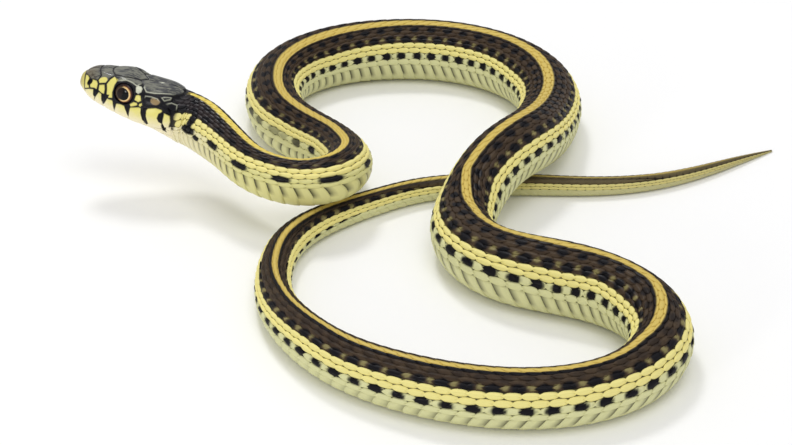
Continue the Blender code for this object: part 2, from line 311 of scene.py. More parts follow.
# How the pattern lies on the body, in degrees from the top towards the animal's right, at
# distances from the back of the head: the roll of the whole pattern, how far the middle of the
# back shifts in it towards the inside of a bend, and where the yellow side stripe lies, its
# middle and half its width, and the belly's edge below it.
LIE = (
    (-6, 3, 0, 83, 18, 115), (-2, 3, 0, 83, 18, 115), (1, 7, 6, 70, 16, 104), (4, 10, 12, 62, 15, 98),
    (11, 17, 6, 62, 13, 98),
    (19, 21, 2, 62, 14, 100), (25, 24, 0, 62, 14, 100), (35, 21, 0, 62, 14, 100), (44, 12, -2, 61, 13, 100),
    (59, 0, -2, 60, 11, 98), (74, -3, 0, 60, 10, 97), (91, 3, -16, 60, 10, 96), (102, -2, -12, 63, 10, 96),
    (113, -3, -10, 66, 10, 97), (123, -2, -8, 63, 10, 96), (133, 0, -4, 62, 10, 96),
    (149, 0, -1, 62, 10, 96),
    (158, 0, 2, 62, 9, 95), (168, -3, 4, 64, 10, 96), (178, 0, -4, 63, 10, 96), (207, 0, -7, 62, 10, 96),
    (215, 0, -9, 62, 10, 96), (228, -3, -11, 57, 10, 94), (234, 0, 3, 61, 10, 95), (243, 4, 18, 59, 10, 95),
    (250, 4, 20, 58, 10, 95), (262, 2, 13, 59, 10, 95), (270, 0, 8, 60, 11, 96), (279, 4, 11, 59, 10, 96),
    (287, 0, 18, 61, 11, 98), (296, 0, -4, 60, 13, 100), (306, -3, -20, 58, 13, 101),
    (315, -3, -14, 58, 14, 102),
    (328, 0, -13, 60, 15, 104), (348, 1, -11, 61, 14, 104), (363, 0, -13, 61, 13, 104),
    (372, -4, -18, 59, 13, 104),
    (390, 0, -24, 61, 13, 106), (400, 0, -6, 66, 15, 108), (413, -2, 3, 70, 18, 112),
    (425, 0, 3, 70, 17, 110),
    (440, 0, 0, 68, 16, 104), (470, 0, 0, 70, 17, 98), (530, 0, 0, 70, 20, 96),
)
# The scales stand in rows along the body: the middle row on the back, and nine on each side
# down to the belly. Rows end one by one towards the tail's tip, where the named row tapers out.
ROWS = 9
BELLY_ROWS = 11.0        # a half turn of the belly counts as so many rows in the markings
ROWS_END = ((5, 292), (4, 398), (2, 414), (8, 428), (3, 446), (1, 494))
TAPER_LENGTH = 16.0


def read_table(table, at, column=1):
    """A value between the entries of a table, which starts each entry with its place."""
    return np.interp(at, [entry[0] for entry in table], [entry[column] for entry in table])


def row_width(row, distance):
    """The width of a row as a share of a full one: 1, and less where it tapers out."""
    width = np.ones_like(distance)
    for ending, place in ROWS_END:
        if ending == row:
            width = 1 - ease((distance - place) / TAPER_LENGTH + 0.5)
    return width


def lie_at(distance):
    """Roll, back shift, side stripe's middle and half width, and belly's edge, as half turns."""
    return [read_table(LIE, distance, column) / 180 for column in range(1, 6)]


# Edges between the rows as shares of their own zone: the back down to the side stripe, the
# stripe's two rows, and the two rows under it.
ZONES = ((0, 5), (6, 7), (8, 9))
row_at = np.arange(-HEAD_LENGTH, BODY_LENGTH + 1, 0.5)
row_share = np.zeros((ROWS + 2, len(row_at)))
for zone, (first, last) in enumerate(ZONES):
    widths = np.array([row_width(row, row_at) for row in range(first, last + 1)])
    widths[0] *= 0.5 if first == 0 else 1
    row_share[first + 1:last + 2] = zone + np.cumsum(widths, axis=0) / widths.sum(axis=0)


def zone_angle(share, side, distance):
    """Where a share of the zones lies around the body, on its left or right side."""
    roll, shift, stripe, half, edge = lie_at(distance)
    upper = shift + (side * (stripe - half) - shift) * np.clip(share, 0, 1)
    return roll + upper + side * (2 * half * np.clip(share - 1, 0, 1)
                                  + (edge - stripe - half) * np.clip(share - 2, 0, 1))


def around_of(row, distance):
    """Where a place between the rows lies around the body; 0.5 is the middle row's edge."""
    level = np.minimum(np.abs(row), ROWS + 0.5)
    i = np.clip((level + 0.5).astype(int), 0, ROWS)
    low = np.zeros(distance.shape)
    high = np.zeros(distance.shape)
    for k in range(ROWS + 1):
        chosen = i == k
        low[chosen] = np.interp(distance[chosen], row_at, row_share[k])
        high[chosen] = np.interp(distance[chosen], row_at, row_share[k + 1])
    start = np.where(i == 0, 0, i - 0.5)
    length = np.where(i == 0, 0.5, 1.0)
    return zone_angle(low + (high - low) * (level - start) / length, np.where(row < 0, -1, 1), distance)


def row_of(around, distance):
    """The opposite: the place between the rows for places around the body, at one distance."""
    labels = np.array([0] + [k + 0.5 for k in range(ROWS + 1)])
    shares = np.array([np.interp(distance, row_at, row_share[k]) for k in range(ROWS + 2)])
    left = zone_angle(shares, 1, distance)
    right = zone_angle(shares, -1, distance)
    places = np.concatenate((right[::-1], left[1:]))
    rows = np.concatenate((-labels[::-1], labels[1:]))
    found = np.interp(around, places, rows)
    beyond = np.maximum(around - left[-1], right[-1] - around)
    return np.where(beyond > 0, np.sign(found) * (ROWS + 0.5 + beyond * BELLY_ROWS), found)


# Markings, the same on skin and scales: an orange stripe down the back, a yellow one on rows
# 6 and 7 of each side, two lines of black spots between them, and a pale belly.
SPOT_STEP = 4.05
BLOTCH_STEP = 7.75
STRIPE_HALF = ((-5, 0.15), (0, 0.7), (4, 1.2), (22, 1.40), (45, 1.05), (100, 1.0), (300, 1.0),
               (390, 0.8), (440, 0.55), (475, 0.15), (530, 0.0))
UPPER_ROW = 2.4
LOWER_ROW = ((270, 4.75), (310, 4.0), (395, 4.0), (430, 3.2))
BELLY_ROW = 8.0
BORDER_BLACK = ((60, 0.7), (270, 0.8), (310, 1), (420, 1), (470, 0.3))
NAPE_BLOTCHES = ((5.3, 6.3, 1.0, 1.6), (5.2, 8.1, 2.3, 0.95), (8.2, 8.9, 0.9, 0.5))
FLECK = 0.22             # how yellow the small marks between the lower spots are


def past(value, edge, softness):
    """0 before an edge and 1 after it, with a short way between."""
    return np.clip((value - edge) / softness + 0.5, 0, 1)


def blob(along, across, half_along, half_across):
    """A soft-edged oval: 1 inside, 0 outside."""
    reach = np.sqrt((along / half_along) ** 2 + (across / half_across) ** 2)
    return np.clip((1.12 - reach) / 0.24, 0, 1)


def repeat(distance, step, shift):
    """The distance to the nearest of many places a step apart."""
    return (distance / step + shift + 0.5) % 1 * step - step / 2


def markings(distance, row):
    """Orange, yellow, pale and black at a place on the animal, each from 0 to 1."""
    level = np.abs(row)
    half = read_table(STRIPE_HALF, distance)
    lower_row = read_table(LOWER_ROW, distance)
    neck = 1 - ease((distance - 60) / 30)
    behind_head = past(distance, -1.2, 0.6)
    orange = past(half, level, 0.25)
    yellow = past(level, 5.5, 0.2) * past(7.5, level, 0.2)
    fleck = blob(repeat(distance, SPOT_STEP, 0.5), level - lower_row + 0.2, 0.55, 0.45)
    yellow = np.maximum(yellow, fleck * FLECK * np.clip((distance - 20) / 20, 0, 1))
    pale = past(level, 7.5, 0.2)
    border = past(half + 0.65, level, 0.3) * past(level, half, 0.25)
    black = border * read_table(BORDER_BLACK, distance)
    for step, shift, line, size, strength in (
            (SPOT_STEP, 0.0, lower_row, (1.25, 0.85), 1),
            (SPOT_STEP, 0.5, UPPER_ROW, (1.15, 0.75), np.interp(distance, (280, 310), (1, 0.4))),
            (BLOTCH_STEP, 0.335, BELLY_ROW, (1.7, 0.75), neck),
            (SPOT_STEP, 0.3, BELLY_ROW, (1.25, 0.6), 1 - neck)):
        black = np.maximum(black, strength * blob(repeat(distance, step, shift), level - line, *size))
    for place, line, half_along, half_across in NAPE_BLOTCHES:
        black = np.maximum(black, blob(distance - place, level - line, half_along, half_across))
    return orange * behind_head, yellow * behind_head, pale, black


def on_map(across, up):
    """A place on the OFBake map from shares of its width and height, inside a margin."""
    return UV_MARGIN + (1 - 2 * UV_MARGIN) * np.stack(np.broadcast_arrays(across, up), axis=-1)


def new_mesh(name, points, quads, attributes, uv, material, replaced=()):
    """A piece from arrays of points in mm and of four-cornered faces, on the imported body."""
    points = points.reshape(-1, 3)
    mesh = bpy.data.meshes.new(name)
    mesh.vertices.add(len(points))
    mesh.vertices.foreach_set("co", (points * MM).ravel().astype(np.float32))
    mesh.loops.add(quads.size)
    mesh.loops.foreach_set("vertex_index", quads.ravel().astype(np.int32))
    mesh.polygons.add(len(quads))
    mesh.polygons.foreach_set("loop_start", np.arange(0, quads.size, 4, dtype=np.int32))
    mesh.update(calc_edges=True)
    mesh.validate()
    for title, values in attributes.items():
        layer = mesh.attributes.new(title, "FLOAT_COLOR", "POINT")
        layer.data.foreach_set("color", values.ravel().astype(np.float32))
    layer = mesh.uv_layers.new(name="OFBake")
    corners = np.zeros(len(mesh.loops), dtype=np.int32)
    mesh.loops.foreach_get("vertex_index", corners)
    layer.data.foreach_set("uv", uv.reshape(-1, 2)[corners].ravel().astype(np.float32))
    mesh.shade_smooth()
    mesh.materials.append(material)
    piece = bpy.data.objects.new(name, mesh)
    bpy.context.collection.objects.link(piece)
    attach(piece, "root")
    if replaced:
        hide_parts(*replaced)


class Wire:
    """A socket of a shader, for sums on it."""

    def __init__(self, tree, socket=None):
        self.tree = tree
        self.socket = socket

    def node(self, kind, settings, inputs, output=0):
        """A node of any type: its settings first, then values or wires into its sockets."""
        made = self.tree.nodes.new(kind)
        for name, value in settings.items():
            if name == "stops":
                ramp = made.color_ramp.elements
                while len(ramp) < len(value):
                    ramp.new(0.5)
                for element, (position, colour) in zip(ramp, value):
                    element.position = position
                    element.color = (*colour, 1)
            else:
                setattr(made, name, value)
        self.plug(made, inputs)
        return Wire(self.tree, made.outputs[output])

    def plug(self, node, inputs):
        """Values or wires into a node's sockets."""
        for name, value in inputs.items():
            if isinstance(value, Wire):
                self.tree.links.new(value.socket, node.inputs[name])
            else:
                node.inputs[name].default_value = value

    def finish(self, inputs):
        """Values or wires into the material's one shader."""
        self.plug(self.tree.nodes["Principled BSDF"], inputs)

    def attribute(self, title):
        """The four numbers that a mesh carries under a name."""
        vector = self.node("ShaderNodeAttribute", {"attribute_name": title}, {}, "Vector")
        split = self.node("ShaderNodeSeparateXYZ", {}, {"Vector": vector})
        sockets = (*split.socket.node.outputs, vector.socket.node.outputs["Alpha"])
        return [Wire(self.tree, socket) for socket in sockets]

    def math(self, operation, *values):
        return self.node("ShaderNodeMath", {"operation": operation}, dict(enumerate(values)))

    def mix(self, first, second, share):
        """A colour between two, or wires of them. The Mix node's colours go in at sockets 6 and
        7 and come out at socket 2."""
        first, second = (colour if isinstance(colour, Wire) else (*colour, 1) for colour in (first, second))
        return self.node("ShaderNodeMix", {"data_type": "RGBA"}, {0: share, 6: first, 7: second}, 2)

    def __add__(self, other):
        return self.math("ADD", self, other)

    def __sub__(self, other):
        return self.math("SUBTRACT", self, other)

    def __mul__(self, other):
        return self.math("MULTIPLY", self, other)

    def __radd__(self, other):
        return self.math("ADD", other, self)

    def __rsub__(self, other):
        return self.math("SUBTRACT", other, self)

    def __rmul__(self, other):
        return self.math("MULTIPLY", other, self)

    def limited(self):
        return self.node("ShaderNodeClamp", {}, {"Value": self})


def new_material(name):
    """A material with one shader, and a wire to start its nodes from."""
    material = bpy.data.materials.new(name)
    material.use_nodes = True
    return material, Wire(material.node_tree)


BROWN = (0.047, 0.030, 0.019)
LIGHT_BROWN = (0.085, 0.058, 0.034)
NECK_BROWN = (0.012, 0.012, 0.020)
TAIL_BROWN = (0.13, 0.104, 0.052)
TAIL_TAN = (0.38, 0.32, 0.14)
BLACK = (0.0065, 0.0062, 0.0085)
ORANGE = (0.66, 0.50, 0.13)
NECK_ORANGE = (0.84, 0.67, 0.14)
YELLOW = (0.86, 0.77, 0.29)
PALE_GREEN = (0.70, 0.69, 0.37)
NECK_GREEN = (0.74, 0.70, 0.30)
THROAT_CREAM = (0.86, 0.79, 0.50)
SEAM = (0.010, 0.009, 0.010)
NECK_GLEAM = 0.3         # the neck is glossier than the rest


def scale_material(name, roughness, coat, seam_share):
    """Satin scales, coloured by their markings; seam_share darkens it all to the seams' black."""
    material, start = new_material(name)
    orange, yellow, pale, black = start.attribute("markings")
    chance, along = start.attribute("scale")[:2]
    place = start.node("ShaderNodeTexCoord", {}, {}, "Object")
    mottle = start.node("ShaderNodeTexNoise", {}, {"Vector": place, "Scale": 900.0, "Detail": 3.0})
    brown = start.mix(BROWN, LIGHT_BROWN, (mottle * 1.4 - 0.45 + (chance - 0.5) * 0.5).limited())
    brown = start.mix(brown, NECK_BROWN, (1 - along * 12).limited() * 0.75)
    brown = start.mix(brown, TAIL_BROWN, (along * 8 - 6.6).limited() * 0.8)
    back_stripe = start.mix(NECK_ORANGE, ORANGE, (along * 11 - 0.2).limited())
    ground = start.mix(brown, back_stripe, orange)
    ground = start.mix(ground, YELLOW, yellow)
    light = start.mix(THROAT_CREAM, NECK_GREEN, (along * 30 - 0.2).limited())
    light = start.mix(light, PALE_GREEN, (along * 9 - 0.5).limited())
    ground = start.mix(ground, light, pale)
    tan = (along * 6 - 4.9).limited() * (yellow + pale + 0.15).limited() * 0.6
    ground = start.mix(ground, TAIL_TAN, tan)
    ground = start.mix(ground, BLACK, black)
    bump = start.node("ShaderNodeBump", {}, {"Strength": 0.12, "Distance": 0.00006, "Height": mottle})
    start.finish({"Base Color": start.mix(ground, SEAM, seam_share),
                  "Roughness": mottle * 0.12 + roughness - 0.06,
                  "Coat Weight": (1 - along * 11).limited() * NECK_GLEAM + coat,
                  "Coat Roughness": 0.22, "Specular IOR Level": 0.07, "Normal": bump})
    return material


skin_material = scale_material("black_seams_of_the_skin", roughness=0.5, coat=0.0, seam_share=0.88)
flesh = ["head", "lower_jaw", "neck_1", "neck_2"]
flesh += [f"trunk_{k}" for k in range(1, 11)] + [f"tail_{k}" for k in range(1, 5)]

EYE_RADIUS = 2.12
EYE_DEPTH = 1.05
EYE_FROM_SNOUT = 10.0
EYE_SIDE = 3.60
EYE_HEIGHT = 2.40
EYE_TURN = (0.20, 1.0, 0.14)
SOCKET_DEPTH = 1.0
eye_places = {}
for side in (1, -1):
    centre = (snout - head_forward * EYE_FROM_SNOUT + head_left * (side * EYE_SIDE) + head_up * EYE_HEIGHT)
    looks = unit(head_forward * EYE_TURN[0] + head_left * (side * EYE_TURN[1]) + head_up * EYE_TURN[2])
    eye_places[side] = (centre, looks)


def from_eye(points, around):
    """How far points of the head lie from the axis of the eye on their own side, and how far up."""
    reach = np.zeros(points.shape[:-1])
    rise = np.zeros(points.shape[:-1])
    for side, (centre, looks) in eye_places.items():
        offset = points - centre
        across = offset - (offset @ looks)[..., None] * looks
        own = (around < 0) if side < 0 else (around >= 0)
        reach = np.where(own, np.linalg.norm(across, axis=-1), reach)
        rise = np.where(own, across @ head_up, rise)
    return reach, rise


def place_data(chance, distance):
    """A mesh's numbers for chance and for the place along the body, as a share of it."""
    along = np.clip(distance / BODY_LENGTH, 0, 1)
    return np.stack(np.broadcast_arrays(chance, along, 0.0, 0.0), axis=-1)


SKIN_SIDES = 96
SKIN_STEP = 0.9
SNOUT_GAP = 0.35         # the skin starts this far behind the shell of plates
SKIN_DEPTH = ((-HEAD_LENGTH, 0.2), (-20, 0.38), (-4, 0.38), (0, COAT_DEPTH), (480, COAT_DEPTH),
              (BODY_LENGTH, 0.04))
head_steps = SNOUT_GAP + (HEAD_LENGTH - SNOUT_GAP) * np.linspace(0, 1, 50) ** 1.6 - HEAD_LENGTH
body_steps = np.arange(0, BODY_LENGTH - 0.4, SKIN_STEP)
skin_at = np.concatenate((head_steps[:-1], body_steps, [BODY_LENGTH - 0.15]))[:, None]
skin_around = np.arange(SKIN_SIDES)[None, :] / SKIN_SIDES * 2 - 1
depth = read_table(SKIN_DEPTH, skin_at)
to_eye = from_eye(on_snake(skin_at, skin_around, -depth), -skin_around)[0]
socket = SOCKET_DEPTH * 1.5 * ease((2.7 - to_eye) / 0.5) * (skin_at < JOIN_START)
skin_points = on_snake(skin_at, skin_around, -depth - socket)
skin_rows = np.array([row_of(skin_around[0], place) for place in skin_at[:, 0]])
skin_marks = np.stack(markings(skin_at, skin_rows), axis=-1)
grid = np.arange(skin_rows.size).reshape(skin_rows.shape)
turned = np.roll(grid, -1, axis=1)
quads = np.stack((grid[:-1], grid[1:], turned[1:], turned[:-1]), axis=-1).reshape(-1, 4)
caps = []
for ring, forward in ((grid[0], True), (grid[-1], False)):
    for k in range(SKIN_SIDES // 2 - 1):
        cap = (ring[k], ring[k + 1], ring[SKIN_SIDES - 2 - k], ring[SKIN_SIDES - 1 - k])
        caps.append(cap if forward else cap[::-1])
skin_data = place_data(0.5, np.broadcast_to(skin_at, skin_rows.shape))
skin_uv = on_map((skin_at + HEAD_LENGTH) / (BODY_LENGTH + HEAD_LENGTH), (skin_around + 1) / 2)
new_mesh("skin", skin_points, np.concatenate((quads, caps)), {"markings": skin_marks, "scale": skin_data},
         skin_uv, skin_material, flesh)


# The scales of the back and sides: keeled, narrow and pointed on the back, broader and rounder
# towards the belly. Each lies over the roots of those behind it, in rows that run the whole
# body. All the scales of a few rows are joined in one piece.
SCALE_PITCH = ((-30, 1.3), (0, 1.5), (12, 1.8), (25, 2.15), (45, 2.6), (65, 2.85), (380, 2.75),
               (400, 2.4), (450, 2.1), (500, 1.6), (530, 1.1))
COAT_SHARE = ((-10, 0.7), (0, 0.9), (380, 1), (450, 0.7), (530, 0.25))
SCALE_OVERLAP = 1.42
SIDE_OVERLAP = 1.24
ACROSS_POINTS = 7
ALONG_POINTS = 9
KEEL_HEIGHT = 0.13
RISE = 0.24
RIM_DEPTH = 0.05         # a scale's rim goes this far into the skin
FIRST_SCALE = (-1.7, -2.0, -2.6, -3.0, -2.2, -1.9, -2.6, -2.4, -1.9, -2.2)      # for each row
SMALLEST_SCALE = 0.35
PATCH = (0.003, 0.0015)
satin = scale_material("keeled_satin_scales", roughness=0.5, coat=0.06, seam_share=0.0)


def scale_places(first, last):
    """Distances along the body that are a scale's pitch apart."""
    places = [first]
    while places[-1] < last:
        places.append(places[-1] + read_table(SCALE_PITCH, places[-1]))
    return np.array(places[:-1])


def patch_on_map(roots, around, a, b):
    """Each scale's own small patch, at its root's place on the skin's map."""
    place = on_map((roots + HEAD_LENGTH) / (BODY_LENGTH + HEAD_LENGTH), (around + 1) / 2)
    return place + np.stack(np.broadcast_arrays(PATCH[0] * a, PATCH[1] * b), axis=-1)


def grid_faces(rows, columns, count=1, flip=False):
    """Faces of grids of points, all alike."""
    grid = np.arange(rows * columns).reshape(rows, columns)
    corners = (grid[:-1, :-1], grid[:-1, 1:], grid[1:, 1:], grid[1:, :-1])
    order = (0, 3, 2, 1) if flip else (0, 1, 2, 3)
    one = np.stack([corners[k] for k in order], axis=-1).reshape(-1, 4)
    return (one[None] + np.arange(count)[:, None, None] * rows * columns).reshape(-1, 4)


def widened(values):
    """Grids with one more column on each side and one more row at the end, like their edges."""
    return np.pad(values, ((0, 0), (0, 1), (1, 1), (0, 0)), mode="edge")


def raised(distance, around, height, thin, *numbers):
    """Grids of scales, each with a rim into the skin at its sides and tip, and their numbers."""
    points = widened(on_snake(distance, around, -(COAT_DEPTH + RIM_DEPTH) * thin))
    points[:, :-1, 1:-1] = on_snake(distance, around, height)
    return points, *(widened(values) for values in numbers)


def joined_scales(title, groups, material):
    """One piece from groups of scales whose grids are all of one size."""
    points, marks, data, uv = (np.concatenate(arrays) for arrays in zip(*groups))
    count, rows, columns = points.shape[:3]
    new_mesh(title, points, grid_faces(rows, columns, count), {"markings": marks, "scale": data}, uv,
             material)


def row_of_scales(row, draw):
    """The points, marks, numbers and map places of every scale in one row."""
    level = abs(row)
    roots = chain + read_table(SCALE_PITCH, chain) / 2 * (level % 2)
    kept = (roots > FIRST_SCALE[level]) & (row_width(level, roots) > SMALLEST_SCALE)
    roots = roots[kept][:, None, None]
    chance = draw.random(roots.shape)
    length = read_table(SCALE_PITCH, roots) * (SCALE_OVERLAP if level < 6 else SIDE_OVERLAP)
    a = np.linspace(0, 1, ALONG_POINTS)[None, :, None]
    b = np.linspace(-1, 1, ACROSS_POINTS)[None, None, :]
    roundness = np.interp(level, (0, 5, 7, 9), (2.0, 2.1, 2.5, 2.8))
    widest = np.interp(level, (0, 5, 9), (0.52, 0.55, 0.60))
    before = np.sqrt(np.clip(1 - ((widest - a) / widest) ** 2, 0, 1)) * 0.55 + 0.45
    behind = np.clip(1 - (np.clip(a - widest, 0, 1) / (1 - widest)) ** roundness, 0, 1) ** 0.75
    outline = np.maximum(np.where(a < widest, before, behind), 0.04)
    half = 0.5 * np.interp(level, (0, 5, 6, 7, 9), (1.14, 1.14, 1.03, 1.03, 1.08)) * row_width(level, roots)
    distance = roots + a * length - 0.10 * (b * b) * length * a
    position = row + half * outline * b
    around = around_of(position, np.minimum(distance, BODY_LENGTH))
    keel = KEEL_HEIGHT * np.interp(level, (0, 7, 9), (1, 0.75, 0.25)) * np.exp(-(b / 0.20) ** 2)
    keel = keel * np.sin(pi * np.clip(a * 1.02, 0, 1)) ** 0.5
    edge = np.maximum(np.abs(b) ** 4 * 0.6, np.clip((a - 0.82) / 0.18, 0, 1) ** 2 * 0.35)
    thin = read_table(COAT_SHARE, roots)
    height = (-COAT_DEPTH + 0.02 + RISE * a ** 0.7 + keel + 0.07 * (1 - b * b) - 0.16 * edge) * thin
    mark_distance = (roots + 0.62 * length) * 0.15 + distance * 0.85
    mark_row = position * 0.8 + row * 0.2 if level > 1 else position
    marks = np.stack(markings(mark_distance, mark_row), axis=-1)
    middle = ACROSS_POINTS // 2
    uv = patch_on_map(roots, around[:, :1, middle:middle + 1], a, b)
    return raised(distance, around, height, thin, marks, place_data(chance, distance), uv)


chain = scale_places(-9.0, BODY_LENGTH - 1.2)
ROW_GROUPS = {"back_stripe_scales": (0, 1, -1), "upper_flank_scales": (2, -2, 3, -3),
              "lower_flank_scales": (4, -4, 5, -5), "side_stripe_scales": (6, -6, 7, -7),
              "lower_side_scales": (8, -8, 9, -9)}
for title, rows in ROW_GROUPS.items():
    draw = np.random.default_rng(len(title))
    joined_scales(title, [row_of_scales(row, draw) for row in rows], satin)


# The scutes of the belly: one broad plate across the belly for each scale of a row, its free
# hind edge over the next. Behind the vent they are in pairs.
TRUNK_END = 394.0
FIRST_SCUTE = -2.5
SCUTE_ALONG = 6
SCUTE_ACROSS = 25
SCUTE_OVERLAP = 1.22
TUCK = 0.016             # the scutes' ends go this far under the lowest scales, in half turns
PAIR_OFFSET = 0.4        # under the tail the halves of a pair are this far out of step
BAR_REACH = 32.0         # black hind-edge bars run this far down from the ends, in degrees
BAR_BLACK = ((3, 0), (12, 0.95), (330, 0.8), (380, 0.0))
smooth = scale_material("smooth_belly_scutes", roughness=0.4, coat=0.12, seam_share=0.0)


def scutes(roots, first_side, last_side):
    """Belly plates between two places across the belly, from -1 to 1."""
    roots = roots[:, None, None]
    a = np.linspace(0, 1, SCUTE_ALONG)[None, :, None]
    b = np.linspace(first_side, last_side, SCUTE_ACROSS)[None, None, :]
    roll, edge = (read_table(LIE, roots, column) / 180 for column in (1, 5))
    reach = 1 - edge + TUCK
    distance = roots + read_table(SCALE_PITCH, roots) * (a * SCUTE_OVERLAP - 0.55 * np.abs(b) ** 3)
    around = (1 - b * reach * (1 - 0.05 * (a - 0.4) ** 2) + roll + 1) % 2 - 1
    middle = (first_side + last_side) / 2
    near_end = np.abs(b - middle) / ((last_side - first_side) / 2)
    thin = read_table(COAT_SHARE, roots)
    height = (-COAT_DEPTH + 0.03 + 0.25 * a ** 0.6 - 0.14 * near_end ** 12
              - 0.05 * np.clip(a - 0.85, 0, 1) / 0.15) * thin
    marks = np.zeros((*distance.shape, 4))
    marks[..., 2] = 1
    from_end = (1 - np.abs(b)) * reach * 180
    bar = np.clip((0.20 - np.abs(a - 0.24)) / 0.10, 0, 1) * np.clip((BAR_REACH - from_end) / 8, 0, 1)
    marks[..., 3] = bar * read_table(BAR_BLACK, distance)
    uv = patch_on_map(roots, 0.98 * (np.sign(middle) or 1), a, b)
    return raised(distance, around, height, thin, marks, place_data(0.5, distance), uv)


front = chain[(chain > FIRST_SCUTE) & (chain < TRUNK_END)]
hind = chain[chain >= TRUNK_END]
joined_scales("belly_scutes", [scutes(front, -1, 1)], smooth)
joined_scales("tail_scutes", [scutes(hind, 0.0, 1), scutes(hind + PAIR_OFFSET, -1, 0.0)], smooth)


# The head's shell: thin horny plates over the skull, glossy olive grey on the crown and cream
# along the lips, parted by narrow black grooves. It is one relief, with a pit for each nostril
# and eye and a groove for the shut mouth. A snake has no eyelids, only a rim round each eye.
# Outlines of half the head's plates: back from the snout, and round from the crown's middle.
PLATES = (
    ("lip", ((-1.0, 0.0), (0.75, 0.0), (0.85, 1.1), (1.15, 3.0), (1.4, 4.8), (2.0, 6.9), (-1.0, 8.0))),
    ("crown", ((0.8, 0.0), (3.4, 0.0), (3.7, 1.5), (4.3, 2.8), (3.9, 3.6), (2.4, 2.9), (0.9, 1.1))),
    ("gold", ((0.95, 1.2), (1.7, 1.95), (2.1, 2.6), (2.1, 3.6), (2.6, 4.95), (1.5, 4.75), (1.2, 3.0))),
    ("gold", ((2.2, 2.75), (3.8, 3.6), (4.2, 4.3), (4.2, 5.7), (3.6, 5.2), (2.7, 4.95), (2.2, 3.7))),
    ("crown", ((3.5, 0.0), (5.85, 0.0), (6.1, 1.2), (7.0, 2.55), (6.3, 3.4), (5.7, 4.3), (4.35, 4.3),
               (4.0, 3.6), (4.4, 2.8), (3.8, 1.5))),
    ("gold", ((4.4, 4.5), (5.6, 4.5), (5.9, 5.4), (6.0, 6.5), (5.3, 6.3), (4.5, 5.7))),
    ("gold", ((5.9, 4.4), (6.4, 3.5), (7.1, 2.9), (8.1, 3.7), (7.75, 4.6), (7.6, 6.0), (7.9, 7.2),
              (7.0, 7.2), (6.4, 6.5), (6.2, 5.4))),
    ("crown", ((7.1, 2.65), (9.2, 2.9), (12.1, 1.6), (13.0, 2.4), (12.2, 3.95), (11.2, 3.75),
               (9.9, 3.7), (8.6, 3.95), (8.0, 4.05))),
    ("crown", ((5.95, 0.0), (6.2, 1.2), (7.1, 2.45), (9.2, 2.7), (12.1, 1.4), (13.4, 0.0))),
    ("crown", ((13.5, 0.0), (20.6, 0.0), (21.2, 0.8), (20.6, 2.2), (19.6, 3.1), (18.0, 3.65),
               (16.0, 4.2), (14.2, 4.4), (13.4, 3.6), (13.1, 2.5), (12.2, 1.5))),
    ("pale", ((12.0, 4.0), (12.3, 3.5), (12.9, 3.35), (13.3, 3.8), (13.3, 4.5), (12.8, 4.95), (12.3, 4.8))),
    ("gold", ((12.3, 6.3), (12.4, 5.3), (12.9, 5.0), (13.5, 5.1), (13.9, 6.0), (13.3, 6.5), (12.9, 6.4))),
    ("gold", ((11.6, 7.3), (12.3, 6.6), (13.1, 6.5), (13.4, 7.0), (12.6, 7.5), (11.9, 7.8))),
    ("gold", ((13.5, 6.6), (14.1, 6.2), (14.4, 6.9), (14.1, 7.2), (13.5, 7.1))),
    ("temple", ((14.2, 4.75), (15.5, 4.6), (16.9, 4.7), (18.0, 5.4), (17.4, 6.2), (15.3, 6.8),
                (14.5, 6.8), (14.1, 5.9))),
    ("temple", ((17.2, 4.5), (18.1, 4.0), (19.6, 3.45), (19.5, 4.3), (18.3, 5.1))),
    ("temple", ((18.5, 5.3), (19.7, 4.4), (21.1, 4.2), (21.3, 5.5), (20.0, 5.9))),
    ("temple", ((17.7, 6.2), (18.3, 5.5), (19.9, 6.1), (20.3, 6.7), (18.9, 6.6))),
    ("lip", ((1.55, 4.95), (2.6, 5.15), (3.5, 5.4), (3.9, 5.9), (4.0, 7.4), (3.9, 9.0), (2.1, 8.0))),
    ("lip", ((3.7, 5.5), (4.4, 5.85), (5.3, 6.4), (5.75, 6.9), (5.9, 8.7), (5.9, 10.2), (4.0, 9.2),
             (4.1, 7.4))),
    ("lip", ((5.5, 6.5), (6.3, 6.8), (7.0, 7.4), (7.8, 7.6), (8.3, 8.2), (8.6, 10.0), (8.7, 11.4),
             (6.0, 10.2), (6.0, 8.6))),
    ("lip", ((8.0, 7.8), (8.7, 8.3), (9.7, 8.1), (10.7, 8.1), (11.4, 7.8), (11.8, 9.9), (11.9, 11.6),
             (8.8, 11.4), (8.7, 10.0))),
    ("lip", ((11.6, 8.0), (12.6, 7.6), (13.7, 7.2), (14.3, 7.3), (14.8, 8.5), (15.4, 10.2), (15.5, 11.8),
             (12.0, 11.6), (11.9, 9.9))),
    ("lip", ((14.6, 7.2), (15.6, 6.95), (17.0, 6.5), (18.4, 6.5), (18.8, 7.3), (18.9, 8.8),
             (19.3, 11.0), (15.6, 11.8), (15.5, 10.0), (14.9, 8.4))),
    ("lip", ((18.9, 6.9), (20.2, 6.85), (20.6, 7.9), (20.5, 9.2), (19.7, 9.7), (19.1, 8.9))),
    ("lip", ((19.9, 9.3), (20.9, 9.0), (21.5, 9.8), (21.0, 10.6), (20.2, 10.3))),
)
